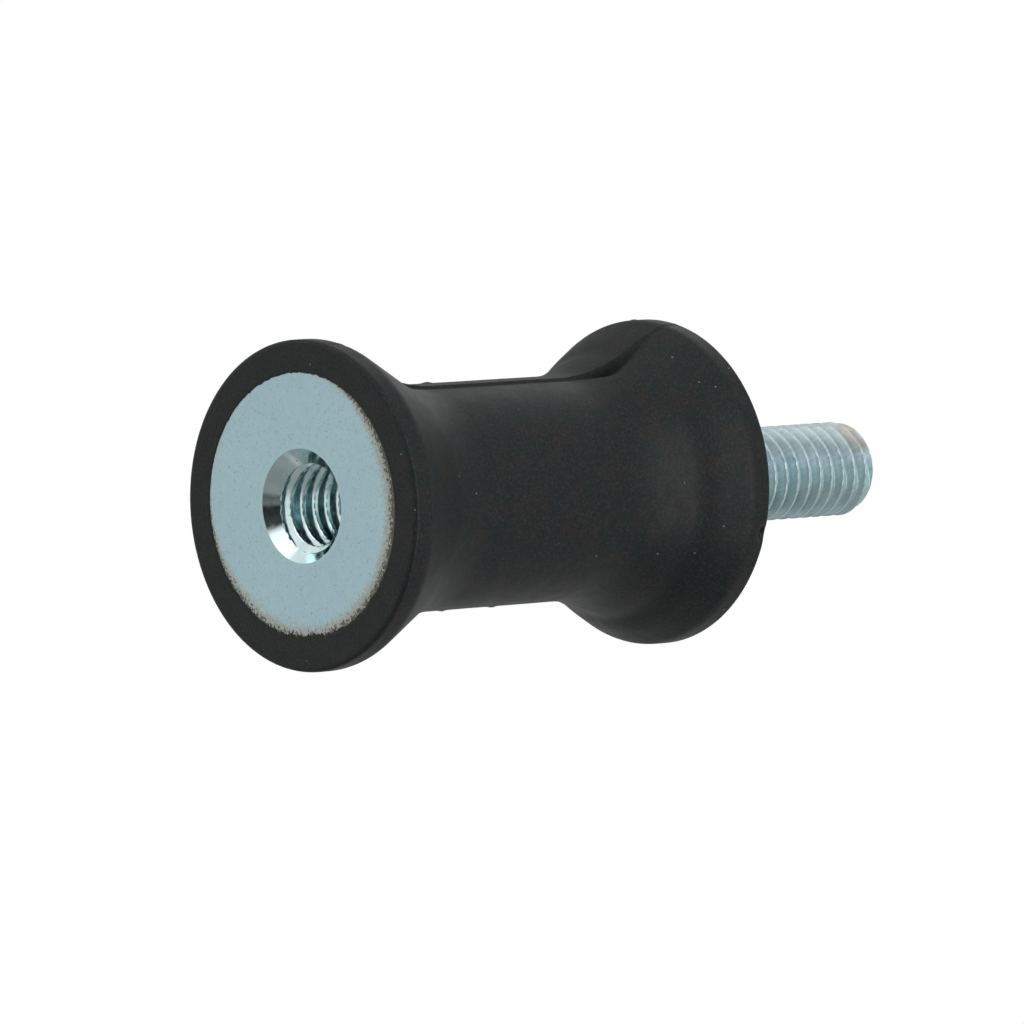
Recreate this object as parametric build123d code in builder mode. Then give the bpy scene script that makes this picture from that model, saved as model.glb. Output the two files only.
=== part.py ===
from build123d import *
import math
import os

# Bobbin vibration mount with a threaded socket at one end and a threaded stud at the other.
# The axis is Z. The socket's face is at z = 0 and the stud points up.
# All sizes are in millimetres.

# Rubber body
flange_dia = 20.0
neck_dia = 13.8
body_length = 30.0
rim_width = 1.45
flare_length = 7.4
face_edge_chamfer = 0.3
rim_back_radius = 1.4
neck_fillet_radius = 9.0

# Parting line of the mould, in the XZ plane
flash_height = 0.12
flash_thickness = 0.3

# Steel end plates, flush with the rubber at both faces
plate_dia = 16.3
plate_thickness = 1.5
plate_edge_chamfer = 0.4

# Threaded bush, pressed into the socket plate from inside
socket_tap_dia = 5.0
socket_mouth_dia = 7.0
socket_depth = 7.5
drill_point_angle = 118.0
bush_spigot_dia = 7.3
bush_barrel_dia = 9.0
bush_floor = 1.2
bush_end_chamfer = 0.7

# Stud, pressed through the stud plate from inside
stud_dia = 5.9
stud_length = 17.1
stud_tip_dia = 4.7
stud_tip_length = 1.2
stud_shoulder_dia = 6.8
stud_head_dia = 10.5
stud_head_height = 2.0
stud_head_chamfer = 0.7

# Sizes that follow from those above
flange_radius = flange_dia / 2
neck_radius = neck_dia / 2
plate_radius = plate_dia / 2
socket_tap_radius = socket_tap_dia / 2
drill_point_depth = socket_tap_radius / math.tan(math.radians(drill_point_angle / 2))
bush_length = socket_depth + drill_point_depth + bush_floor
stud_plate_back = body_length - plate_thickness
stud_head_base = stud_plate_back - stud_head_height


def corners(section, radius, *heights):
    """The corners of a section at one radius and at any of some heights above the socket's face."""
    return section.vertices().filter_by(
        lambda corner: math.isclose(corner.X, radius, abs_tol=1e-6)
        and any(math.isclose(corner.Y, height, abs_tol=1e-6) for height in heights)
    )


def half_section(proud):
    """Half the bobbin's lengthwise section, with its radii larger by the given amount."""
    rim = flange_radius + proud
    waist = neck_radius + proud
    rim_backs = (rim_width, body_length - rim_width)
    waist_ends = (flare_length, body_length - flare_length)
    with BuildSketch(Plane.XZ) as section:
        with BuildLine():
            Polyline(
                (0, 0),
                (rim, 0),
                (rim, rim_backs[0]),
                (waist, waist_ends[0]),
                (waist, waist_ends[1]),
                (rim, rim_backs[1]),
                (rim, body_length),
                (0, body_length),
                close=True,
            )
        make_face()
        fillet(corners(section, waist, *waist_ends), neck_fillet_radius)
        fillet(corners(section, rim, *rim_backs), rim_back_radius)
        chamfer(corners(section, rim, 0, body_length), face_edge_chamfer)
    return section.sketch


def plate_outline(outer_face, inner_face):
    """Half of a plate's section from the axis out, with its buried corner cut back."""
    with BuildSketch(Plane.XZ) as outline:
        with BuildLine():
            Polyline(
                (0, outer_face),
                (plate_radius, outer_face),
                (plate_radius, inner_face),
                (0, inner_face),
                close=True,
            )
        make_face()
        chamfer(corners(outline, plate_radius, inner_face), plate_edge_chamfer)
    return outline.sketch


def bush_outline():
    """Half of the bush's outside: the spigot in the plate, then the barrel with a bevelled end."""
    spigot = bush_spigot_dia / 2
    barrel = bush_barrel_dia / 2
    with BuildSketch(Plane.XZ) as outline:
        with BuildLine():
            Polyline(
                (0, 0),
                (spigot, 0),
                (spigot, plate_thickness),
                (barrel, plate_thickness),
                (barrel, bush_length),
                (0, bush_length),
                close=True,
            )
        make_face()
        chamfer(corners(outline, barrel, bush_length), bush_end_chamfer)
    return outline.sketch


def stud_root_outline():
    """Half of the stud's buried end: the bevelled head and the shoulder in the plate."""
    head = stud_head_dia / 2
    shoulder = stud_shoulder_dia / 2
    with BuildSketch(Plane.XZ) as outline:
        with BuildLine():
            Polyline(
                (0, stud_head_base),
                (head, stud_head_base),
                (head, stud_plate_back),
                (shoulder, stud_plate_back),
                (shoulder, body_length),
                (0, body_length),
                close=True,
            )
        make_face()
        chamfer(corners(outline, head, stud_head_base), stud_head_chamfer)
    return outline.sketch


# Socket plate: a pressed steel disc with a round hole for the bush's spigot
with BuildPart() as socket_plate:
    revolve(plate_outline(0, plate_thickness), axis=Axis.Z)
    with Locations((0, 0, plate_thickness / 2)):
        Hole(bush_spigot_dia / 2)
socket_plate.part.label = "socket_plate"

# Threaded bush: a turned blind bush, tapped from a countersunk mouth
with BuildPart() as threaded_bush:
    revolve(bush_outline(), axis=Axis.Z)
    with BuildSketch(Plane.XZ):
        with BuildLine():
            mouth_depth = (socket_mouth_dia - socket_tap_dia) / 2
            Polyline(
                (0, 0),
                (socket_mouth_dia / 2, 0),
                (socket_tap_radius, mouth_depth),
                (socket_tap_radius, socket_depth),
                (0, socket_depth + drill_point_depth),
                close=True,
            )
        make_face()
    revolve(axis=Axis.Z, mode=Mode.SUBTRACT)
threaded_bush.part.label = "threaded_bush"

# Stud plate: the same disc at the other end, with a hole for the stud's shoulder
with BuildPart() as stud_plate:
    revolve(plate_outline(body_length, stud_plate_back), axis=Axis.Z)
    with Locations((0, 0, body_length - plate_thickness / 2)):
        Hole(stud_shoulder_dia / 2)
stud_plate.part.label = "stud_plate"

# Stud: a headed bolt with a tapered tip
with BuildPart() as stud:
    revolve(stud_root_outline(), axis=Axis.Z)
    with BuildSketch(Plane.XZ):
        with BuildLine():
            tip = body_length + stud_length
            Polyline(
                (0, body_length),
                (stud_dia / 2, body_length),
                (stud_dia / 2, tip - stud_tip_length),
                (stud_tip_dia / 2, tip),
                (0, tip),
                close=True,
            )
        make_face()
    revolve(axis=Axis.Z)
stud.part.label = "stud"

# Rubber body: one moulding bonded round the plates, with the mould's flash along two sides
with BuildPart() as rubber_body:
    revolve(half_section(0), axis=Axis.Z)
    extrude(half_section(flash_height), amount=flash_thickness / 2, both=True)
    mirror(about=Plane.YZ)
    revolve(plate_outline(0, plate_thickness), axis=Axis.Z, mode=Mode.SUBTRACT)
    revolve(bush_outline(), axis=Axis.Z, mode=Mode.SUBTRACT)
    revolve(plate_outline(body_length, stud_plate_back), axis=Axis.Z, mode=Mode.SUBTRACT)
    revolve(stud_root_outline(), axis=Axis.Z, mode=Mode.SUBTRACT)
rubber_body.part.label = "rubber_body"

os.makedirs("parts", exist_ok=True)
for piece in (rubber_body, socket_plate, threaded_bush, stud_plate, stud):
    export_step(piece.part, f"parts/{piece.part.label}.step")
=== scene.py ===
import bpy
import bmesh
import math
from mathutils import Matrix, Vector


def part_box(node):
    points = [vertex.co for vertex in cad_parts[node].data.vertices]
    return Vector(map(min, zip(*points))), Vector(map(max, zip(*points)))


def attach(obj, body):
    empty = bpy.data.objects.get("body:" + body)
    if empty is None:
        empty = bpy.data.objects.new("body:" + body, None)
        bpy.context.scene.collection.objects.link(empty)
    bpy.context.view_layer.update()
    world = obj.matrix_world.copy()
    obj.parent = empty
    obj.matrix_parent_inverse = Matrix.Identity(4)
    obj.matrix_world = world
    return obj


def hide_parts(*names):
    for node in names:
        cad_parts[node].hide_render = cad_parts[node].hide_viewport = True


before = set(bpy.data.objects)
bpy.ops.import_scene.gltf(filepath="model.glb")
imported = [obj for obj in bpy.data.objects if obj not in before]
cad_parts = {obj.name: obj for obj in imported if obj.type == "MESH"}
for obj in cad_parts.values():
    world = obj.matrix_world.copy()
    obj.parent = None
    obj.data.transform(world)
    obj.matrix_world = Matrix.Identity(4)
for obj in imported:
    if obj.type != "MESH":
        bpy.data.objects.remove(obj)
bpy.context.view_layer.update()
mm = 0.001
fullTurn = 2 * math.pi


# Node helpers, for materials and geometry alike
def feed(tree, value, socket):
    if isinstance(value, bpy.types.NodeSocket):
        tree.links.new(value, socket)
    else:
        socket.default_value = value


def calc(tree, operation, *values):
    node = tree.nodes.new("ShaderNodeMath")
    node.operation = operation
    for value, socket in zip(values, node.inputs):
        feed(tree, value, socket)
    return node.outputs[0]


def plus(tree, first, second):
    return calc(tree, "ADD", first, second)


def minus(tree, first, second):
    return calc(tree, "SUBTRACT", first, second)


def times(tree, first, second):
    return calc(tree, "MULTIPLY", first, second)


def rangeOf(tree, value, low, high, toLow=0.0, toHigh=1.0, shape="SMOOTHSTEP"):
    node = tree.nodes.new("ShaderNodeMapRange")
    node.interpolation_type = shape
    for number, socket in zip((value, low, high, toLow, toHigh), node.inputs):
        feed(tree, number, socket)
    return node.outputs[0]


def bell(tree, distance, width):  # 1 at the middle, falling to nothing a couple of widths away
    share = calc(tree, "DIVIDE", distance, width)
    square = times(tree, share, share)
    return calc(tree, "EXPONENT", times(tree, square, -1.0))


def vectorOf(tree, x, y, z):
    node = tree.nodes.new("ShaderNodeCombineXYZ")
    for value, socket in zip((x, y, z), node.inputs):
        feed(tree, value, socket)
    return node.outputs[0]


def partsOf(tree, vector):
    node = tree.nodes.new("ShaderNodeSeparateXYZ")
    feed(tree, vector, node.inputs[0])
    return node.outputs[0], node.outputs[1], node.outputs[2]


def vectorCalc(tree, operation, first, second):
    node = tree.nodes.new("ShaderNodeVectorMath")
    node.operation = operation
    feed(tree, first, node.inputs[0])
    feed(tree, tuple(second), node.inputs[1])
    return node.outputs["Value"]


def radiusOf(tree, x, y):
    return calc(tree, "SQRT", plus(tree, times(tree, x, x), times(tree, y, y)))


def noiseOf(tree, vector, scale, detail=2.0, roughness=0.5):
    node = tree.nodes.new("ShaderNodeTexNoise")
    feed(tree, vector, node.inputs["Vector"])
    node.inputs["Scale"].default_value = scale
    node.inputs["Detail"].default_value = detail
    node.inputs["Roughness"].default_value = roughness
    return node.outputs[0]


def patchesOf(tree, place, noise, low, high, most=1.0, least=0.0):  # noise is (scale, detail, roughness)
    return rangeOf(tree, noiseOf(tree, place, *noise), low, high, least, most)


def mixOf(tree, factor, first, second):
    node = tree.nodes.new("ShaderNodeMix")
    node.data_type = "RGBA"
    for value, socket in zip((factor, first, second), (node.inputs[0], node.inputs[6], node.inputs[7])):
        feed(tree, value, socket)
    return node.outputs[2]


def colour(red, green, blue):
    return (red, green, blue, 1.0)


def aroundAxis(radius, degrees, height):  # a point in metres, from a radius and height in millimetres
    turn = math.radians(degrees)
    return Vector((radius * math.cos(turn), radius * math.sin(turn), height)) * mm


# Geometry nodes: what every tree begins and ends with
def newTree(name, inputs):
    tree = bpy.data.node_groups.new(name, "GeometryNodeTree")
    tree.interface.new_socket("Geometry", in_out="INPUT", socket_type="NodeSocketGeometry")
    for label, kind in inputs:
        tree.interface.new_socket(label, in_out="INPUT", socket_type="NodeSocket" + kind)
    tree.interface.new_socket("Geometry", in_out="OUTPUT", socket_type="NodeSocketGeometry")
    return tree, tree.nodes.new("NodeGroupInput").outputs


def gridOf(tree, rows, columns):  # a net of rows by columns, with each point's row and share of the way round
    grid = tree.nodes.new("GeometryNodeMeshGrid")
    feed(tree, rows, grid.inputs["Vertices X"])
    feed(tree, columns, grid.inputs["Vertices Y"])
    index = tree.nodes.new("GeometryNodeInputIndex").outputs[0]
    row = calc(tree, "FLOOR", calc(tree, "DIVIDE", plus(tree, index, 0.5), columns))
    column = minus(tree, index, times(tree, row, columns))
    share = calc(tree, "DIVIDE", column, minus(tree, columns, 1.0))
    return grid.outputs["Mesh"], row, share


def finishTree(tree, mesh, position, material):
    place = tree.nodes.new("GeometryNodeSetPosition")
    merge = tree.nodes.new("GeometryNodeMergeByDistance")
    merge.inputs["Distance"].default_value = 0.0008 * mm
    realize = tree.nodes.new("GeometryNodeRealizeInstances")
    paint = tree.nodes.new("GeometryNodeSetMaterial")
    output = tree.nodes.new("NodeGroupOutput")
    tree.links.new(mesh, place.inputs["Geometry"])
    tree.links.new(position, place.inputs["Position"])
    tree.links.new(place.outputs[0], merge.inputs["Geometry"])
    tree.links.new(merge.outputs[0], realize.inputs["Geometry"])
    tree.links.new(realize.outputs[0], paint.inputs["Geometry"])
    tree.links.new(material, paint.inputs["Material"])
    tree.links.new(paint.outputs[0], output.inputs[0])


def runTree(tree, mesh, values):  # the tree's result as a plain mesh
    holder = bpy.data.objects.new("holder", mesh)
    bpy.context.scene.collection.objects.link(holder)
    modifier = holder.modifiers.new("nodes", "NODES")
    modifier.node_group = tree
    for item in tree.interface.items_tree:
        if item.in_out == "INPUT" and item.name in values:
            modifier[item.identifier] = values[item.name]
    bpy.context.view_layer.update()
    made = bpy.data.meshes.new_from_object(holder.evaluated_get(bpy.context.evaluated_depsgraph_get()))
    holder.modifiers.clear()
    bpy.data.objects.remove(holder)
    return made


def weld(name, meshes, material, sharpAngle=math.radians(32)):  # one closed piece from its surfaces
    shell = bmesh.new()
    for mesh in meshes:
        shell.from_mesh(mesh)
        bpy.data.meshes.remove(mesh)
    bmesh.ops.remove_doubles(shell, verts=shell.verts, dist=0.001 * mm)
    bmesh.ops.dissolve_degenerate(shell, edges=shell.edges, dist=0.0005 * mm)
    bmesh.ops.recalc_face_normals(shell, faces=shell.faces)
    if shell.calc_volume(signed=True) < 0:
        bmesh.ops.reverse_faces(shell, faces=shell.faces)
    for face in shell.faces:
        face.smooth = True
        face.material_index = 0
    openEdges = sum(1 for edge in shell.edges if not edge.is_manifold)
    made = bpy.data.meshes.new(name)
    shell.to_mesh(made)
    shell.free()
    made.materials.clear()
    made.materials.append(material)
    made.set_sharp_from_angle(angle=sharpAngle)
    piece = bpy.data.objects.new(name, made)
    bpy.context.scene.collection.objects.link(piece)
    print(name, "faces", len(made.polygons), "open edges", openEdges)
    return piece


# Outlines: half sections drawn as radius and height, in millimetres
def rounded(corners, steps=10):  # corners are (radius, height, rounding)
    points = []
    for number, (radius, height, rounding) in enumerate(corners):
        here = Vector((radius, height))
        if rounding == 0 or number in (0, len(corners) - 1):
            points.append(here)
            continue
        before = (Vector(corners[number - 1][:2]) - here).normalized()
        after = (Vector(corners[number + 1][:2]) - here).normalized()
        half = before.angle(after) / 2
        middle = here + (before + after).normalized() * rounding / math.sin(half)
        start = here + before * rounding / math.tan(half) - middle
        sweep = start.angle_signed(here + after * rounding / math.tan(half) - middle)
        for step in range(steps + 1):
            turn = Matrix.Rotation(-sweep * step / steps, 2)
            points.append(middle + turn @ start)
    return points


def outline(*corners):  # a section with plain corners
    return [Vector(corner) for corner in corners]


def spaced(points, step):  # the same line with points no further apart than a step
    line = [points[0]]
    for start, end in zip(points, points[1:]):
        count = max(1, math.ceil((end - start).length / step))
        line += [start.lerp(end, number / count) for number in range(1, count + 1)]
    return line


def sectionMesh(name, points, **rows):  # rows are named lists of one number for each point
    mesh = bpy.data.meshes.new(name)
    edges = [(number, number + 1) for number in range(len(points) - 1)]
    mesh.from_pydata([(radius * mm, 0, height * mm) for radius, height in points], edges, [])
    for label, values in rows.items():
        layer = mesh.attributes.new(label, "FLOAT", "POINT")
        layer.data.foreach_set("value", values)
    return mesh


# Geometry nodes: a turned surface, with the mould's flash, its crevice, small marks and a torn edge
def sampled(tree, geometry, label, row, kind="FLOAT"):
    node = tree.nodes.new("GeometryNodeSampleIndex")
    node.data_type = kind
    if label == "position":
        source = tree.nodes.new("GeometryNodeInputPosition").outputs[0]
    else:
        named = tree.nodes.new("GeometryNodeInputNamedAttribute")
        named.data_type = kind
        named.inputs["Name"].default_value = label
        source = named.outputs[0]
    tree.links.new(geometry, node.inputs["Geometry"])
    tree.links.new(source, node.inputs["Value"])
    tree.links.new(row, node.inputs["Index"])
    return node.outputs[0]


rowLabels = ("skin", "flash", "crease", "opening", "ragged")
turnedLook = {
    "uneven": (330.0, 3.0),
    "farRange": (-0.2, 0.2),
    "creaseOffset": 1.2,
    "tearTurns": 8.0,
    "tear": (2.4, 5.0, 0.75),
    "slowTear": (1.3, 1.0),
    "tearLift": 0.5,
    "tearSharpness": 2.0,
    "tearGain": 2.6,
    "tearFarSide": 0.35,
    "tearLeast": 0.1,
}


def turnedTree(name, marks=()):
    look = turnedLook
    tree, given = newTree(name, (
        ("Columns", "Int"), ("Crowding", "Float"), ("Flash height", "Float"), ("Flash width", "Float"),
        ("Crease depth", "Float"), ("Crease width", "Float"), ("Far side share", "Float"),
        ("Unevenness", "Float"), ("Ragged", "Float"), ("Ragged angle", "Float"), ("Material", "Material")))
    section = given["Geometry"]
    size = tree.nodes.new("GeometryNodeAttributeDomainSize")
    tree.links.new(section, size.inputs[0])
    mesh, row, share = gridOf(tree, size.outputs["Point Count"], given["Columns"])
    radius, _, height = partsOf(tree, sampled(tree, section, "position", row, "FLOAT_VECTOR"))
    skin, flashRow, crease, opening, ragged = (sampled(tree, section, label, row) for label in rowLabels)

    turn = times(tree, share, fullTurn)
    gather = times(tree, calc(tree, "SINE", times(tree, turn, 2.0)), given["Crowding"])
    angle = minus(tree, turn, times(tree, gather, 0.5))  # columns crowd at the parting line
    cosine, sine = calc(tree, "COSINE", angle), calc(tree, "SINE", angle)
    aside = times(tree, radius, sine)
    place = vectorOf(tree, times(tree, radius, cosine), aside, height)

    farSide = rangeOf(tree, cosine, *look["farRange"], 1.0, given["Far side share"])
    flash = times(tree, bell(tree, aside, given["Flash width"]), given["Flash height"])
    flash = times(tree, flash, flashRow)
    creaseWidth = times(tree, given["Crease width"], plus(tree, opening, 1.0))
    beside = plus(tree, aside, times(tree, creaseWidth, look["creaseOffset"]))
    groove = times(tree, bell(tree, beside, creaseWidth), given["Crease depth"])
    groove = times(tree, groove, crease)
    grown = times(tree, minus(tree, flash, groove), farSide)
    uneven = times(tree, noiseOf(tree, place, *look["uneven"]), given["Unevenness"])
    grown = minus(tree, grown, times(tree, uneven, skin))
    for markAngle, markHeight, markRadius, markSize, markRise in marks:
        away = vectorCalc(tree, "DISTANCE", place, aroundAxis(markRadius, markAngle, markHeight))
        bump = times(tree, bell(tree, away, markSize * mm), markRise * mm)
        grown = plus(tree, grown, times(tree, bump, skin))

    turns = look["tearTurns"]
    around = vectorOf(tree, times(tree, cosine, turns), times(tree, sine, turns), 0.0)
    tear = noiseOf(tree, around, *look["tear"])
    slow = noiseOf(tree, vectorOf(tree, cosine, sine, 0.0), *look["slowTear"])
    width = times(tree, tear, plus(tree, slow, look["tearLift"]))
    width = times(tree, calc(tree, "POWER", width, look["tearSharpness"]), look["tearGain"])
    lean = calc(tree, "COSINE", minus(tree, angle, given["Ragged angle"]))  # widest on one side, then opposite
    lean = times(tree, times(tree, lean, lean), rangeOf(tree, lean, -1.0, 1.0, look["tearFarSide"], 1.0))
    width = times(tree, width, rangeOf(tree, lean, 0.0, 1.0, look["tearLeast"], 1.0, "LINEAR"))
    pulled = times(tree, times(tree, width, given["Ragged"]), ragged)

    reach = minus(tree, plus(tree, radius, grown), pulled)
    position = vectorOf(tree, times(tree, reach, cosine), times(tree, reach, sine), height)
    finishTree(tree, mesh, position, given["Material"])
    return tree


# Geometry nodes: a thread between two heights, on a net of fine rows
threadLook = {
    "flank": (0.25, 0.87),  # an eighth of the pitch is crest, a quarter root
    "faintFacing": (0.3, 0.98),
    "faintLength": (0.5, 0.95),
    "wear": (900.0, 3.0),
}


def threadTree(name):
    look = threadLook
    tree, given = newTree(name, (
        ("Bottom", "Float"), ("Top", "Float"), ("Pitch", "Float"), ("Major radius", "Float"),
        ("Minor radius", "Float"), ("Start radius", "Float"), ("Start run", "Float"), ("End radius", "Float"),
        ("End run", "Float"), ("Softening", "Float"), ("Blend", "Float"), ("Rows per turn", "Int"),
        ("Columns", "Int"), ("Phase", "Float"), ("Wear", "Float"), ("Faint angle", "Float"),
        ("Faintness", "Float"), ("Material", "Material")))
    bottom, pitch, major, minor = (given[label] for label in ("Bottom", "Pitch", "Major radius", "Minor radius"))
    soft, blend, startRadius, endRadius = (
        given[label] for label in ("Softening", "Blend", "Start radius", "End radius"))
    length = minus(tree, given["Top"], bottom)
    rows = times(tree, calc(tree, "DIVIDE", length, pitch), given["Rows per turn"])
    rows = plus(tree, calc(tree, "CEIL", rows), 1.0)
    mesh, row, share = gridOf(tree, rows, given["Columns"])
    height = times(tree, length, calc(tree, "DIVIDE", row, minus(tree, rows, 1.0)))
    angle = times(tree, share, fullTurn)
    cosine, sine = calc(tree, "COSINE", angle), calc(tree, "SINE", angle)

    facing = calc(tree, "COSINE", minus(tree, angle, given["Faint angle"]))
    start, end = look["faintLength"]
    upTo = rangeOf(tree, height, times(tree, length, start), times(tree, length, end))
    faint = times(tree, rangeOf(tree, facing, *look["faintFacing"]), upTo)  # shallow on one side, near the end
    filled = times(tree, times(tree, faint, given["Faintness"]), minus(tree, major, minor))
    root = plus(tree, minor, filled)
    around = vectorOf(tree, times(tree, major, cosine), times(tree, major, sine), height)
    worn = times(tree, noiseOf(tree, around, *look["wear"]), given["Wear"])
    crest = minus(tree, major, worn)

    phase = minus(tree, calc(tree, "DIVIDE", height, pitch), share)
    phase = calc(tree, "FRACT", plus(tree, phase, plus(tree, given["Phase"], 2.0)))
    ridge = times(tree, calc(tree, "ABSOLUTE", minus(tree, phase, 0.5)), 2.0)
    flank = rangeOf(tree, ridge, *look["flank"], minor, major, "LINEAR")
    flank = calc(tree, "SMOOTH_MAX", flank, root, soft)
    flank = calc(tree, "SMOOTH_MIN", flank, crest, soft)

    startRun = given["Start run"]
    startCap = rangeOf(tree, height, 0.0, startRun, startRadius, major, "LINEAR")
    below = minus(tree, endRadius, times(tree, blend, 2.0))
    startLimit = rangeOf(tree, height, 0.0, startRun, startRadius, below, "LINEAR")
    endShare = rangeOf(tree, height, minus(tree, length, given["End run"]), length, 0.0, 1.0, "LINEAR")
    bend = times(tree, endShare, endShare)
    endLimit = rangeOf(tree, bend, 0.0, 1.0, major, endRadius, "LINEAR")
    radius = calc(tree, "MINIMUM", flank, endLimit)
    radius = calc(tree, "MINIMUM", radius, startCap)
    radius = calc(tree, "SMOOTH_MAX", radius, startLimit, blend)
    position = vectorOf(
        tree, times(tree, radius, cosine), times(tree, radius, sine), plus(tree, bottom, height))
    finishTree(tree, mesh, position, given["Material"])
    return tree


# Materials: a pattern is a noise, where its patches start and end, and the most and the least it gives
def newMaterial(name):
    material = bpy.data.materials.new(name)
    material.use_nodes = True
    tree = material.node_tree
    shader = tree.nodes["Principled BSDF"]
    place = tree.nodes.new("ShaderNodeTexCoord").outputs["Object"]
    return material, tree, shader, place


def layered(tree, place, base, pattern, tone):
    return mixOf(tree, patchesOf(tree, place, *pattern), base, tone)


def alongOf(tree, x, y, direction):  # how far a point lies in a level direction
    return plus(tree, times(tree, x, direction[0]), times(tree, y, direction[1]))


def specksOf(tree, place, cells, size, share):  # small round dots, in a share of the cells
    node = tree.nodes.new("ShaderNodeTexVoronoi")
    feed(tree, place, node.inputs["Vector"])
    node.inputs["Scale"].default_value = cells
    chosen = calc(tree, "LESS_THAN", partsOf(tree, node.outputs["Color"])[0], share)
    inside = rangeOf(tree, node.outputs["Distance"], size, size * 0.4)
    return times(tree, chosen, inside)


def finishLook(tree, shader, place, base, rough, bump):  # bump is a noise, a strength and a depth in millimetres
    noise, strength, depth = bump
    node = tree.nodes.new("ShaderNodeBump")
    node.inputs["Strength"].default_value = strength
    node.inputs["Distance"].default_value = depth * mm
    tree.links.new(noiseOf(tree, place, *noise), node.inputs["Height"])
    tree.links.new(node.outputs[0], shader.inputs["Normal"])
    tree.links.new(base, shader.inputs["Base Color"])
    tree.links.new(rough, shader.inputs["Roughness"])


rubberLook = {
    "black": colour(0.0086, 0.0122, 0.0126),
    "brown": colour(0.0162, 0.0134, 0.0122),
    # a near-black painted shade, for the parting line's crevice and for the nick
    "crease": colour(0.0030, 0.0024, 0.0018),
    "dust": colour(0.32, 0.33, 0.34),
    "patches": ((700.0, 4.0, 0.65), 0.45, 0.68),
    "haze": ((6200.0, 3.0, 0.7), 0.42, 0.74, 0.055),
    "specks": (900.0, 0.075, 0.5),
    "speckDust": 0.55,
    "creaseAside": 0.42,
    "creaseRange": (-6.6, -7.0),
    "creaseReach": 2.3,
    "creaseEdge": ((2600.0, 3.0), 0.3, 0.6, 1.0, 0.75),
    "creaseRoughness": 0.4,
    "nickSize": 0.28,
    "nickDarkness": 0.9,
    "roughness": ((900.0, 3.0), 0.3, 0.7, 0.50, 0.45),
    "specular": 0.22,
    "bump": ((6500.0, 4.0, 0.6), 0.6, 0.02),
}


def rubberMaterial(creaseHeight, nick):
    material, tree, shader, place = newMaterial("mouldedRubber")
    look = rubberLook
    base = layered(tree, place, look["black"], look["patches"], look["brown"])
    base = layered(tree, place, base, look["haze"], look["dust"])
    specks = specksOf(tree, place, *look["specks"])
    base = mixOf(tree, times(tree, specks, look["speckDust"]), base, look["dust"])
    x, y, z = partsOf(tree, place)
    # painted shade in the parting line's crevice: on one side of it, strongest near the far corner, with a patchy
    # edge
    aside = look["creaseAside"] * mm
    start, end = look["creaseRange"]
    inside = bell(tree, plus(tree, y, aside), aside)
    inside = times(tree, inside, rangeOf(tree, x, start * mm, end * mm))
    fromCrease = minus(tree, z, creaseHeight * mm)
    inside = times(tree, inside, bell(tree, fromCrease, look["creaseReach"] * mm))
    inside = times(tree, inside, patchesOf(tree, place, *look["creaseEdge"]))
    base = mixOf(tree, inside, base, look["crease"])
    # painted shade in the nick on the far rim
    fromNick = vectorCalc(tree, "DISTANCE", place, nick)
    paintedNickShade = times(tree, bell(tree, fromNick, look["nickSize"] * mm), look["nickDarkness"])
    base = mixOf(tree, paintedNickShade, base, look["crease"])
    rough = patchesOf(tree, place, *look["roughness"])
    rough = plus(tree, rough, times(tree, inside, look["creaseRoughness"]))
    shader.inputs["Specular IOR Level"].default_value = look["specular"]
    finishLook(tree, shader, place, base, rough, look["bump"])
    return material


plateLook = {
    "zinc": colour(0.455, 0.65, 0.69),
    "cool": colour(0.445, 0.63, 0.70),
    "warm": colour(0.50, 0.575, 0.57),
    "stain": colour(0.075, 0.065, 0.05),
    "beige": colour(0.42, 0.42, 0.35),
    "clouds": ((160.0, 2.0), 0.35, 0.65),
    "mottle": ((2600.0, 4.0, 0.7), 0.55, 0.75, 0.35),
    "flecks": ((7000.0, 3.0, 0.65), 0.56, 0.72, 0.42),
    "streakSpread": (46.0, 3200.0),
    "streaks": (1.0, 4.0, 0.7),
    "crumbs": (7500.0, 2.0, 0.6),
    "lowSide": (0.64, -0.77),
    "lowRange": (-6.5, 2.5),
    "band": 0.14,
    "lowBand": 0.85,
    "farthest": -1.5,
    "residueNear": 0.5,
    "residueRange": (0.42, 0.72),
    "residueMost": 0.85,
    "darkNear": 0.34,
    "darkRange": (0.66, 0.74),
    "darkMost": 0.9,
    "metallic": 0.55,
    "roughness": ((1800.0, 3.0), 0.3, 0.7, 0.52, 0.38),
    "bump": ((4200.0, 4.0, 0.65), 0.25, 0.015),
}


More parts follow.
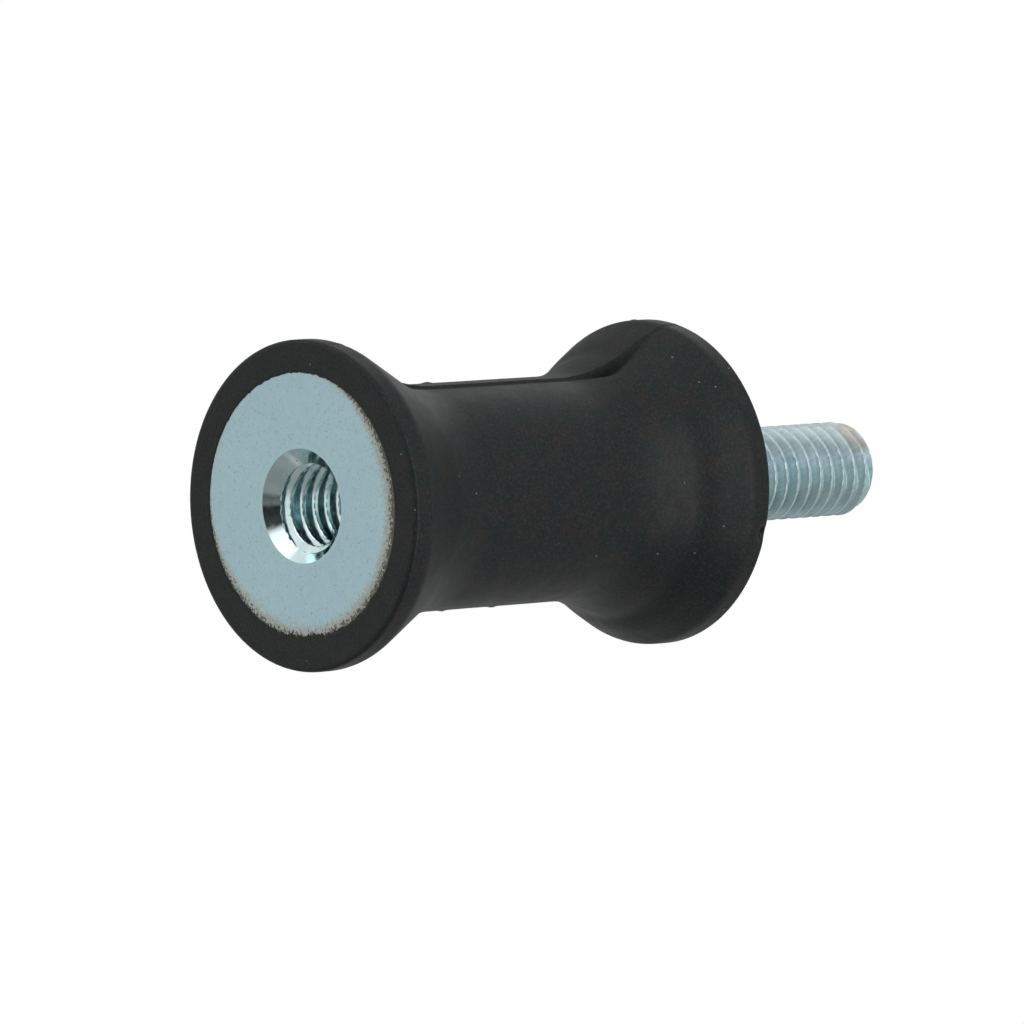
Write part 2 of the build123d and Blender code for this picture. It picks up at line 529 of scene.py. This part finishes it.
def plateMaterial(edgeRadius):
    material, tree, shader, place = newMaterial("plateZinc")
    look = plateLook
    base = layered(tree, place, look["zinc"], look["clouds"], look["cool"])
    base = layered(tree, place, base, look["mottle"], look["warm"])
    base = layered(tree, place, base, look["flecks"], look["stain"])
    x, y, _ = partsOf(tree, place)
    radius = radiusOf(tree, x, y)
    turnSpread, radiusSpread = look["streakSpread"]
    turn = times(tree, calc(tree, "ARCTAN2", y, x), turnSpread)
    spread = vectorOf(tree, turn, times(tree, radius, radiusSpread), 0.0)
    streaks = noiseOf(tree, spread, *look["streaks"])
    crumbs = noiseOf(tree, place, *look["crumbs"])

    start, end = look["lowRange"]
    lowSide = rangeOf(tree, alongOf(tree, x, y, look["lowSide"]), start * mm, end * mm)
    band = plus(tree, times(tree, lowSide, look["lowBand"] * mm), look["band"] * mm)
    fromEdge = minus(tree, edgeRadius * mm, radius)
    closeness = minus(tree, 1.0, calc(tree, "DIVIDE", fromEdge, band))
    closeness = calc(tree, "MAXIMUM", closeness, look["farthest"])
    residue = plus(tree, times(tree, closeness, look["residueNear"]), streaks)
    residue = times(tree, rangeOf(tree, residue, *look["residueRange"]), look["residueMost"])
    base = mixOf(tree, residue, base, look["beige"])
    mixed = plus(tree, times(tree, streaks, 0.5), times(tree, crumbs, 0.5))
    dark = plus(tree, times(tree, closeness, look["darkNear"]), mixed)
    dark = times(tree, rangeOf(tree, dark, *look["darkRange"]), look["darkMost"])
    base = mixOf(tree, dark, base, look["stain"])
    shader.inputs["Metallic"].default_value = look["metallic"]
    finishLook(tree, shader, place, base, patchesOf(tree, place, *look["roughness"]), look["bump"])
    return material


bushLook = {
    "zinc": colour(0.78, 0.94, 0.95),
    "cool": colour(0.66, 0.84, 0.87),
    "stain": colour(0.12, 0.11, 0.09),
    "clouds": ((900.0, 3.0), 0.35, 0.7),
    "flecks": ((4200.0, 3.0, 0.6), 0.64, 0.74, 0.5),
    "faceHeight": 0.06,
    "faceRoughness": 0.45,
    "roughness": ((2200.0, 3.0), 0.3, 0.7, 0.18, 0.08),
    "bump": ((3000.0, 3.0), 0.12, 0.01),
}


def bushMaterial():
    material, tree, shader, place = newMaterial("bushZinc")
    look = bushLook
    base = layered(tree, place, look["zinc"], look["clouds"], look["cool"])
    base = layered(tree, place, base, look["flecks"], look["stain"])
    face = calc(tree, "LESS_THAN", partsOf(tree, place)[2], look["faceHeight"] * mm)
    base = mixOf(tree, face, base, plateLook["zinc"])  # the ring flush with the plate looks like the plate
    metallic = rangeOf(tree, face, 0.0, 1.0, 1.0, plateLook["metallic"], "LINEAR")
    tree.links.new(metallic, shader.inputs["Metallic"])
    rough = patchesOf(tree, place, *look["roughness"])
    rough = calc(tree, "MAXIMUM", rough, times(tree, face, look["faceRoughness"]))
    finishLook(tree, shader, place, base, rough, look["bump"])
    return material


studLook = {
    "zinc": colour(0.60, 0.79, 0.81),
    "cool": colour(0.50, 0.69, 0.735),
    # a painted greyer tone for the side facing the light, then painted bluish glints
    "paintedLitTone": colour(0.62, 0.72, 0.75),
    "glintBlue": colour(0.80, 0.93, 1.0),
    "warm": colour(0.61, 0.56, 0.50),
    "stain": colour(0.18, 0.18, 0.17),
    "scratch": colour(0.24, 0.30, 0.31),
    # a painted shade for the thread's roots
    "paintedRootShade": colour(0.15, 0.19, 0.20),
    "clouds": ((700.0, 3.0), 0.35, 0.65),
    "towardLight": (-0.96, 0.29),
    "litSideRange": (0.6, 1.7),
    "litToneMost": 0.8,
    "glintHeight": 0.75,
    "glintWidth": 0.55,
    "paintedGlint": ((1100.0, 4.0, 0.65), 0.40, 0.56, 1.0, 0.1),
    "warmRange": (3.6, 1.2),
    "warmPatches": ((700.0, 3.0, 0.6), 0.36, 0.52),
    "warmMost": 0.9,
    "flecks": ((3800.0, 3.0, 0.6), 0.62, 0.76, 0.45),
    "brushSpread": (900.0, 6500.0),
    "brush": ((1.0, 3.0, 0.6), 0.4, 0.62, 0.22),
    "rootShadeRange": (2.42, 2.78),
    "rootShadeMost": 0.42,
    "unshadedTipRange": (0.7, 1.2),
    "metallic": 0.7,
    "roughness": ((1600.0, 3.0), 0.3, 0.7, 0.45, 0.3),
    "bump": ((3600.0, 5.0, 0.65), 0.5, 0.02),
}


def studMaterial(tipHeight):
    material, tree, shader, place = newMaterial("studZinc")
    look = studLook
    x, y, z = partsOf(tree, place)

    def belowTip(label):  # from one distance below the tip to another
        start, end = look[label]
        return rangeOf(tree, z, (tipHeight - start) * mm, (tipHeight - end) * mm)

    base = layered(tree, place, look["zinc"], look["clouds"], look["cool"])
    # painted light: the side towards the key light is mixed towards a greyer tone
    lift = alongOf(tree, x, y, look["towardLight"])
    start, end = look["litSideRange"]
    litSide = rangeOf(tree, lift, start * mm, end * mm)
    base = mixOf(tree, times(tree, litSide, look["litToneMost"]), base, look["paintedLitTone"])
    # painted highlight: a band of bluish glints on the lit side, at a given height along it
    paintedGlint = bell(tree, minus(tree, lift, look["glintHeight"] * mm), look["glintWidth"] * mm)
    paintedGlint = times(tree, paintedGlint, patchesOf(tree, place, *look["paintedGlint"]))
    base = mixOf(tree, paintedGlint, base, look["glintBlue"])
    warm = times(tree, belowTip("warmRange"), litSide)
    warm = times(tree, warm, patchesOf(tree, place, *look["warmPatches"]))
    base = mixOf(tree, times(tree, warm, look["warmMost"]), base, look["warm"])
    base = layered(tree, place, base, look["flecks"], look["stain"])
    alongSpread, acrossSpread = look["brushSpread"]
    along = times(tree, plus(tree, lift, z), alongSpread)
    across = times(tree, minus(tree, lift, z), acrossSpread)
    base = layered(tree, vectorOf(tree, along, across, 0.0), base, look["brush"], look["scratch"])
    start, end = look["rootShadeRange"]
    paintedRootShade = rangeOf(tree, radiusOf(tree, x, y), start * mm, end * mm, look["rootShadeMost"], 0.0)
    paintedRootShade = times(tree, paintedRootShade, belowTip("unshadedTipRange"))  # painted shade in the thread's roots, but not at the tip
    base = mixOf(tree, paintedRootShade, base, look["paintedRootShade"])
    shader.inputs["Metallic"].default_value = look["metallic"]
    finishLook(tree, shader, place, base, patchesOf(tree, place, *look["roughness"]), look["bump"])
    return material


# Sizes read from the frame, in millimetres
def farCorner(node):
    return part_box(node)[1] / mm


bodyLength = farCorner("rubber_body").z
flangeRadius = farCorner("rubber_body").y
plateRadius = farCorner("socket_plate").y
plateThickness = farCorner("socket_plate").z
bushEnd = farCorner("threaded_bush").z
studTip = farCorner("stud").z
recess = 0.04  # how far the plates' faces lie behind the rubber's ends
threadPitch = 1.0


# Pieces
def turned(tree, name, points, material, columns, **extra):
    rows = {label: extra.pop(label, [0.0] * len(points)) for label in rowLabels}
    values = {"Columns": columns, "Material": material, "Flash width": 1.0, "Crease width": 1.0}
    values.update(extra)
    return runTree(tree, sectionMesh(name, points, **rows), values)


def threaded(tree, size, material, lengths, **extra):  # lengths are in millimetres
    values = {label: length * mm for label, length in lengths.items()}
    values.update({"Pitch": threadPitch * mm, "Rows per turn": size["rows"], "Columns": size["columns"]})
    values.update({"Phase": size["phase"], "Material": material}, **extra)
    return runTree(tree, bpy.data.meshes.new("none"), values)


rubberSizes = {
    "neckRadius": 6.9,
    "rimWidth": 1.45,
    "flareLength": 7.4,
    "edgeRounding": 0.32,
    "rimRounding": 1.4,
    "neckRounding": 9.0,
    "step": 0.17,
    "columns": 361,
    "crowding": 0.55,
    "flashHeight": 0.12,
    "flashWidth": 0.11,
    "flashAtRim": 0.25,
    "flashRun": 2.5,
    "flashFade": 0.5,
    "creaseDepth": 0.5,
    "creaseWidth": 0.17,
    "creasePlace": 1.4,
    "creaseSpread": 1.6,
    "creaseAtRim": 0.16,
    "creaseOpening": 2.0,
    "farSideShare": 0.08,
    "unevenness": 0.02,
    "skinFade": 0.3,
    "sinkHeight": 25.4,
    "sinkWidth": 0.9,
    "sinkDepth": 0.16,
    "nick": (9.85, 274.5, 29.5),  # radius, angle and height
    "sharpAngle": 50,
}
mouldMarks = (  # angle, height, radius, size and rise
    (165.0, 10.9, 6.9, 0.26, 0.09),
    (156.0, 10.6, 6.9, 0.20, 0.06),
    (160.0, 29.6, 10.0, 0.24, 0.08),
    (344.0, 11.1, 6.9, 0.22, 0.07),
    (342.0, 15.1, 6.9, 0.22, 0.07),
    (274.5, 29.9, 10.0, 0.40, -0.62),  # the nick
)


def rubberOutline():
    size, top = rubberSizes, bodyLength
    waist, flare, rim = size["neckRadius"], size["flareLength"], size["rimWidth"]
    outside = spaced(rounded([
        (plateRadius, 0, 0), (flangeRadius, 0, size["edgeRounding"]), (flangeRadius, rim, size["rimRounding"]),
        (waist, flare, size["neckRounding"]), (waist, top - flare, size["neckRounding"]),
        (flangeRadius, top - rim, size["rimRounding"]), (flangeRadius, top, size["edgeRounding"]),
        (plateRadius, top, 0)]), size["step"])
    for point in outside:  # the far flank's shallow sink ring
        point.x -= size["sinkDepth"] * math.exp(-((point.y - size["sinkHeight"]) / size["sinkWidth"]) ** 2)
    barrel, bevel = bushSizes["barrelRadius"], bushSizes["endBevel"]
    seat = outline(
        (0, bushEnd), (barrel - bevel, bushEnd), (barrel, bushEnd - bevel), (barrel, plateThickness),
        (plateRadius, plateThickness))
    return seat + outside + outline((plateRadius, top - plateThickness), *headCorners())


def rubberRows(points):  # how much of the skin, flash and crease each point of the outline has
    size = rubberSizes
    rim, corner = size["rimWidth"], size["flareLength"] - size["creasePlace"]
    rows = {"skin": [], "flash": [], "crease": [], "opening": []}
    for radius, height in points:
        fromEnd = min(height, bodyLength - height)
        outside = radius > size["neckRadius"] - 0.01 and fromEnd > 0.01
        outside = outside and (radius > plateRadius + 0.01 or fromEnd > rim)
        skin = min(1.0, fromEnd / size["skinFade"])
        flash = min(1.0, size["flashAtRim"] + max(0.0, fromEnd - rim) / size["flashRun"])
        flash *= min(1.0, fromEnd / size["flashFade"])
        near = math.exp(-((fromEnd - corner) / size["creaseSpread"]) ** 2)
        crease = size["creaseAtRim"] + (1 - size["creaseAtRim"]) * near
        crease *= min(1.0, fromEnd / rim) if fromEnd > size["skinFade"] else 0.0
        rows["skin"].append(skin if outside else 0.0)
        rows["flash"].append(flash if outside else 0.0)
        rows["crease"].append(crease if outside else 0.0)
        rows["opening"].append(size["creaseOpening"] * near)
    return rows


def rubberPiece(tree, material):
    size = rubberSizes
    points = rubberOutline()
    mesh = turned(tree, "rubberSection", points, material, size["columns"], **rubberRows(points), **{
        "Crowding": size["crowding"], "Flash height": size["flashHeight"] * mm,
        "Flash width": size["flashWidth"] * mm, "Crease depth": size["creaseDepth"] * mm,
        "Crease width": size["creaseWidth"] * mm, "Far side share": size["farSideShare"],
        "Unevenness": size["unevenness"] * mm})
    return weld("rubberBody", [mesh], material, math.radians(size["sharpAngle"]))


filmSizes = {
    "section": ((0.05, 0.0), (-0.01, 0.1), (-0.04, 0.6), (-0.04, 1.3), (0.05, 1.3), (0.05, 0.0)),
    "ragged": (0.0, 0.75, 1.0, 1.0, 0.0, 0.0),
    "tear": 0.34,
    "tearAngle": 350,
    "columns": 1441,
}


def filmPiece(tree, material, name, face, inward):  # the thin torn edge of rubber on a plate
    size = filmSizes
    depth = recess * inward
    points = outline(*((plateRadius + aside, face + depth * share) for aside, share in size["section"]))
    mesh = turned(tree, name + "Section", points, material, size["columns"], ragged=size["ragged"], **{
        "Ragged": size["tear"] * mm, "Ragged angle": math.radians(size["tearAngle"])})
    return weld(name, [mesh], material)


plateSizes = {"edgeRounding": 0.05, "backBevel": 0.4, "step": 0.5, "columns": 193}


def platePiece(tree, material, name, hole, face, inward):
    size = plateSizes
    bevel = size["backBevel"]
    front, back = face + recess * inward, face + plateThickness * inward
    points = rounded([
        (hole, front, 0), (plateRadius, front, size["edgeRounding"]), (plateRadius, back - bevel * inward, 0),
        (plateRadius - bevel, back, 0), (hole, back, 0), (hole, front, 0)])
    points = spaced(points, size["step"])
    return weld(name, [turned(tree, name + "Section", points, material, size["columns"])], material)


bushSizes = {
    "spigotRadius": 3.65,
    "barrelRadius": 4.5,
    "endBevel": 0.7,
    "mouthRadius": 3.5,
    "threadDepth": 7.5,
    "drillDepth": 9.0,
    "minorRadius": 2.47,
    "majorRadius": 3.02,
    "mouthOverrun": 0.12,
    "runOut": 1.0,
    "softening": 0.06,
    "phase": 0.16,
    "columns": 217,
    "rows": 32,
    "sharpAngle": 40,
}


def bushPiece(turnTree, helixTree, material):
    size = bushSizes
    spigot, barrel, bevel = size["spigotRadius"], size["barrelRadius"], size["endBevel"]
    mouth, minor = size["mouthRadius"] - recess, size["minorRadius"]
    thread = threaded(helixTree, size, material, {
        "Bottom": recess, "Top": size["threadDepth"], "Major radius": size["majorRadius"],
        "Minor radius": minor, "Start radius": mouth, "Start run": mouth - minor + size["mouthOverrun"],
        "End radius": minor, "End run": size["runOut"], "Softening": size["softening"],
        "Blend": size["softening"]})
    drilled = outline((minor, size["threadDepth"]), (0, size["drillDepth"]))
    drill = turned(turnTree, "bushDrill", drilled, material, size["columns"])
    outside = turned(turnTree, "bushOutside", outline(
        (mouth, recess), (spigot, recess), (spigot, plateThickness), (barrel, plateThickness),
        (barrel, bushEnd - bevel), (barrel - bevel, bushEnd), (0, bushEnd)), material, size["columns"])
    return weld("threadedBush", [thread, drill, outside], material, math.radians(size["sharpAngle"]))


studSizes = {
    "shoulderRadius": 3.4,
    "headRadius": 5.25,
    "headHeight": 2.0,
    "headBevel": 0.7,
    "majorRadius": 2.95,
    "minorRadius": 2.39,
    "rootRadius": 2.75,
    "rootRun": 1.2,
    "taperRadius": 2.37,
    "taperRun": 0.95,
    "edgeHeight": 0.35,
    "bevelRadius": 2.1,
    "faceRadius": 1.85,
    "dish": 0.15,
    "endStep": 0.4,
    "softening": 0.12,
    "phase": 0.1,
    "wear": 0.025,
    "faintAngle": 318,
    "faintness": 0.45,
    "columns": 181,
    "rows": 28,
    "sharpAngle": 40,
}


def headCorners():  # the stud's head, from the plate inward
    radius, bevel = studSizes["headRadius"], studSizes["headBevel"]
    top = bodyLength - plateThickness
    base = top - studSizes["headHeight"]
    return (radius, top), (radius, base + bevel), (radius - bevel, base), (0, base)


def studPiece(turnTree, helixTree, material):
    size = studSizes
    base, edge, dish = bodyLength, studTip - size["edgeHeight"], studTip - size["dish"]
    thread = threaded(helixTree, size, material, {
        "Bottom": base, "Top": edge, "Major radius": size["majorRadius"], "Minor radius": size["minorRadius"],
        "Start radius": size["rootRadius"], "Start run": size["rootRun"], "End radius": size["taperRadius"],
        "End run": size["taperRun"], "Softening": size["softening"], "Wear": size["wear"]}, **{
        "Faint angle": math.radians(size["faintAngle"]), "Faintness": size["faintness"]})
    tip = outline((size["taperRadius"], edge), (size["bevelRadius"], dish), (size["faceRadius"], studTip), (0, dish))
    end = turned(turnTree, "studEnd", spaced(tip, size["endStep"]), material, size["columns"])
    shoulder = size["shoulderRadius"]
    root = turned(turnTree, "studRoot", outline(
        (size["rootRadius"], base), (shoulder, base), (shoulder, base - plateThickness), *headCorners()),
        material, size["columns"])
    return weld("stud", [thread, end, root], material, math.radians(size["sharpAngle"]))


# Camera: the photograph's view, from below the socket's face, in degrees and millimetres
cameraView = {
    "angleToAxis": 45.91,
    "tilt": 4.13,
    "spin": -17.0,
    "distance": 718.6,
    "right": -12.63,
    "up": 0.345,
    "lens": 421.9,
    "sensor": 36,
}


def makeCamera():
    view = cameraView
    away = math.radians(view["angleToAxis"])
    tilt = math.radians(view["tilt"])
    spin = Matrix.Rotation(math.radians(view["spin"]), 3, "Z")
    forward = spin @ Vector((0, math.sin(away), math.cos(away)))
    across = spin @ Vector((0, -math.cos(away), math.sin(away)))
    side = spin @ Vector((1, 0, 0))
    right = across * math.cos(tilt) + side * math.sin(tilt)
    up = across * math.sin(tilt) - side * math.cos(tilt)
    place = -(right * view["right"] + up * view["up"] + forward * view["distance"]) * mm
    data = bpy.data.cameras.new("camera")
    data.lens = view["lens"]
    data.sensor_width = view["sensor"]
    data.clip_start = 0.01
    data.clip_end = 10
    camera = bpy.data.objects.new("camera", data)
    bpy.context.scene.collection.objects.link(camera)
    camera.matrix_world = Matrix.Translation(place) @ Matrix((right, up, -forward)).transposed().to_4x4()
    bpy.context.scene.camera = camera
    return right, up, forward


# Studio: a pale floor with an opening under the socket's face, two lights and a shaded world
floorSizes = {"lip": 0.4, "reach": 900.0, "spokes": 96}
floorLook = {"tone": colour(0.86, 0.86, 0.85), "roughness": 0.8, "glow": 0.2}


def floorMaterial():
    material = bpy.data.materials.new("paleFloor")
    material.use_nodes = True
    tree = material.node_tree
    shader = tree.nodes["Principled BSDF"]
    shader.inputs["Base Color"].default_value = floorLook["tone"]
    shader.inputs["Roughness"].default_value = floorLook["roughness"]
    shader.inputs["Emission Color"].default_value = colour(1, 1, 1)
    shader.inputs["Emission Strength"].default_value = floorLook["glow"]
    clear = tree.nodes.new("ShaderNodeBsdfTransparent")
    mix = tree.nodes.new("ShaderNodeMixShader")
    back = tree.nodes.new("ShaderNodeNewGeometry").outputs["Backfacing"]
    seen = tree.nodes.new("ShaderNodeLightPath").outputs["Is Camera Ray"]
    hidden = calc(tree, "MAXIMUM", back, minus(tree, 1.0, seen))  # only the camera sees it, from above
    tree.links.new(hidden, mix.inputs[0])
    tree.links.new(shader.outputs[0], mix.inputs[1])
    tree.links.new(clear.outputs[0], mix.inputs[2])
    tree.links.new(mix.outputs[0], tree.nodes["Material Output"].inputs["Surface"])
    return material


def makeFloor():
    spokes = floorSizes["spokes"]
    mesh = bmesh.new()
    inner, outer = ([mesh.verts.new(aroundAxis(radius, 360 * spoke / spokes, 0)) for spoke in range(spokes)]
                    for radius in (flangeRadius - floorSizes["lip"], floorSizes["reach"]))
    for spoke in range(spokes):
        after = (spoke + 1) % spokes
        mesh.faces.new((inner[spoke], outer[spoke], outer[after], inner[after]))
    made = bpy.data.meshes.new("floor")
    mesh.to_mesh(made)
    mesh.free()
    made.materials.append(floorMaterial())
    floor = bpy.data.objects.new("floor", made)
    bpy.context.scene.collection.objects.link(floor)


def areaLight(name, place, target, width, depth, watts):
    data = bpy.data.lights.new(name, "AREA")
    data.shape = "RECTANGLE"
    data.size = width
    data.size_y = depth
    data.energy = watts
    light = bpy.data.objects.new(name, data)
    turn = (place - target).to_track_quat("Z", "Y").to_matrix().to_4x4()
    light.matrix_world = Matrix.Translation(place) @ turn
    bpy.context.scene.collection.objects.link(light)


def makeWorld(right, up, forward):
    world = bpy.data.worlds.new("studio")
    bpy.context.scene.world = world
    world.use_nodes = True
    tree = world.node_tree
    background = tree.nodes["Background"]
    direction = tree.nodes.new("ShaderNodeTexCoord").outputs["Generated"]
    shades = (  # a direction, where its shade starts and ends, and the strength at both
        (up, -0.9, 0.9, 0.50, 0.60),
        (-right, -0.6, 0.7, 0.9, 1.4),
        (up * 0.86 - forward * 0.42 - right * 0.3, 0.87, 0.93, 1.0, 1.7),
        (-up * 0.8 - forward * 0.55 - right * 0.2, 0.62, 0.85, 1.0, 0.42),
        (-up * 0.7 + forward * 0.52 - right * 0.5, 0.88, 0.97, 1.0, 0.4),
        (up * 0.52 + forward * 0.8 - right * 0.3, 0.86, 0.98, 1.0, 0.45),
        (up * 0.25 - forward, 0.92, 0.965, 1.0, 0.06),
        (-up * 0.1 - forward, 0.94, 0.975, 1.0, 0.3),
    )
    light = 1.0
    for aim, low, high, toLow, toHigh in shades:
        facing = vectorCalc(tree, "DOT_PRODUCT", direction, aim.normalized())
        light = times(tree, light, rangeOf(tree, facing, low, high, toLow, toHigh))
    seen = tree.nodes.new("ShaderNodeLightPath").outputs["Is Camera Ray"]
    strength = plus(tree, times(tree, light, minus(tree, 1.0, seen)), seen)  # the camera sees plain white
    background.inputs["Color"].default_value = colour(1, 1, 1)
    tree.links.new(strength, background.inputs["Strength"])


right, up, forward = makeCamera()
print("camera placed")
makeFloor()
makeWorld(right, up, forward)
middle = Vector((0, 0, 20 * mm))
topPlace = middle + (up * 0.27 + forward * 0.41 + right * 0.13)
sidePlace = middle + (right * 0.36 - forward * 0.35 + up * 0.02)
areaLight("topSoft", topPlace, middle, 0.26, 0.2, 0.09)
areaLight("sideSoft", sidePlace, middle, 0.9, 0.07, 1.5)
bpy.context.scene.view_settings.view_transform = "Standard"
print("studio lit")

creaseHeight = bodyLength - rubberSizes["flareLength"] + rubberSizes["creasePlace"]
rubber = rubberMaterial(creaseHeight, aroundAxis(*rubberSizes["nick"]))
plateZinc = plateMaterial(plateRadius)
bushZinc = bushMaterial()
studZinc = studMaterial(studTip)
plain = turnedTree("plainTurning")
moulded = turnedTree("mouldedTurning", mouldMarks)
helix = threadTree("threadHelix")
spigot, shoulder = bushSizes["spigotRadius"], studSizes["shoulderRadius"]

pieces = (
    (rubberPiece(moulded, rubber), ("rubber_body",), "rubber"),
    (filmPiece(plain, rubber, "socketFilm", 0.0, 1), (), "rubber"),
    (filmPiece(plain, rubber, "studFilm", bodyLength, -1), (), "rubber"),
    (platePiece(plain, plateZinc, "socketPlate", spigot, 0.0, 1), ("socket_plate",), "plate_zinc"),
    (platePiece(plain, plateZinc, "studPlate", shoulder, bodyLength, -1), ("stud_plate",), "plate_zinc"),
    (bushPiece(plain, helix, bushZinc), ("threaded_bush",), "bush_zinc"),
    (studPiece(plain, helix, studZinc), ("stud",), "stud_zinc"),
)
for piece, nodes, slot in pieces:
    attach(piece, "root")
    if nodes:
        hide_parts(*nodes)
print("pieces made")
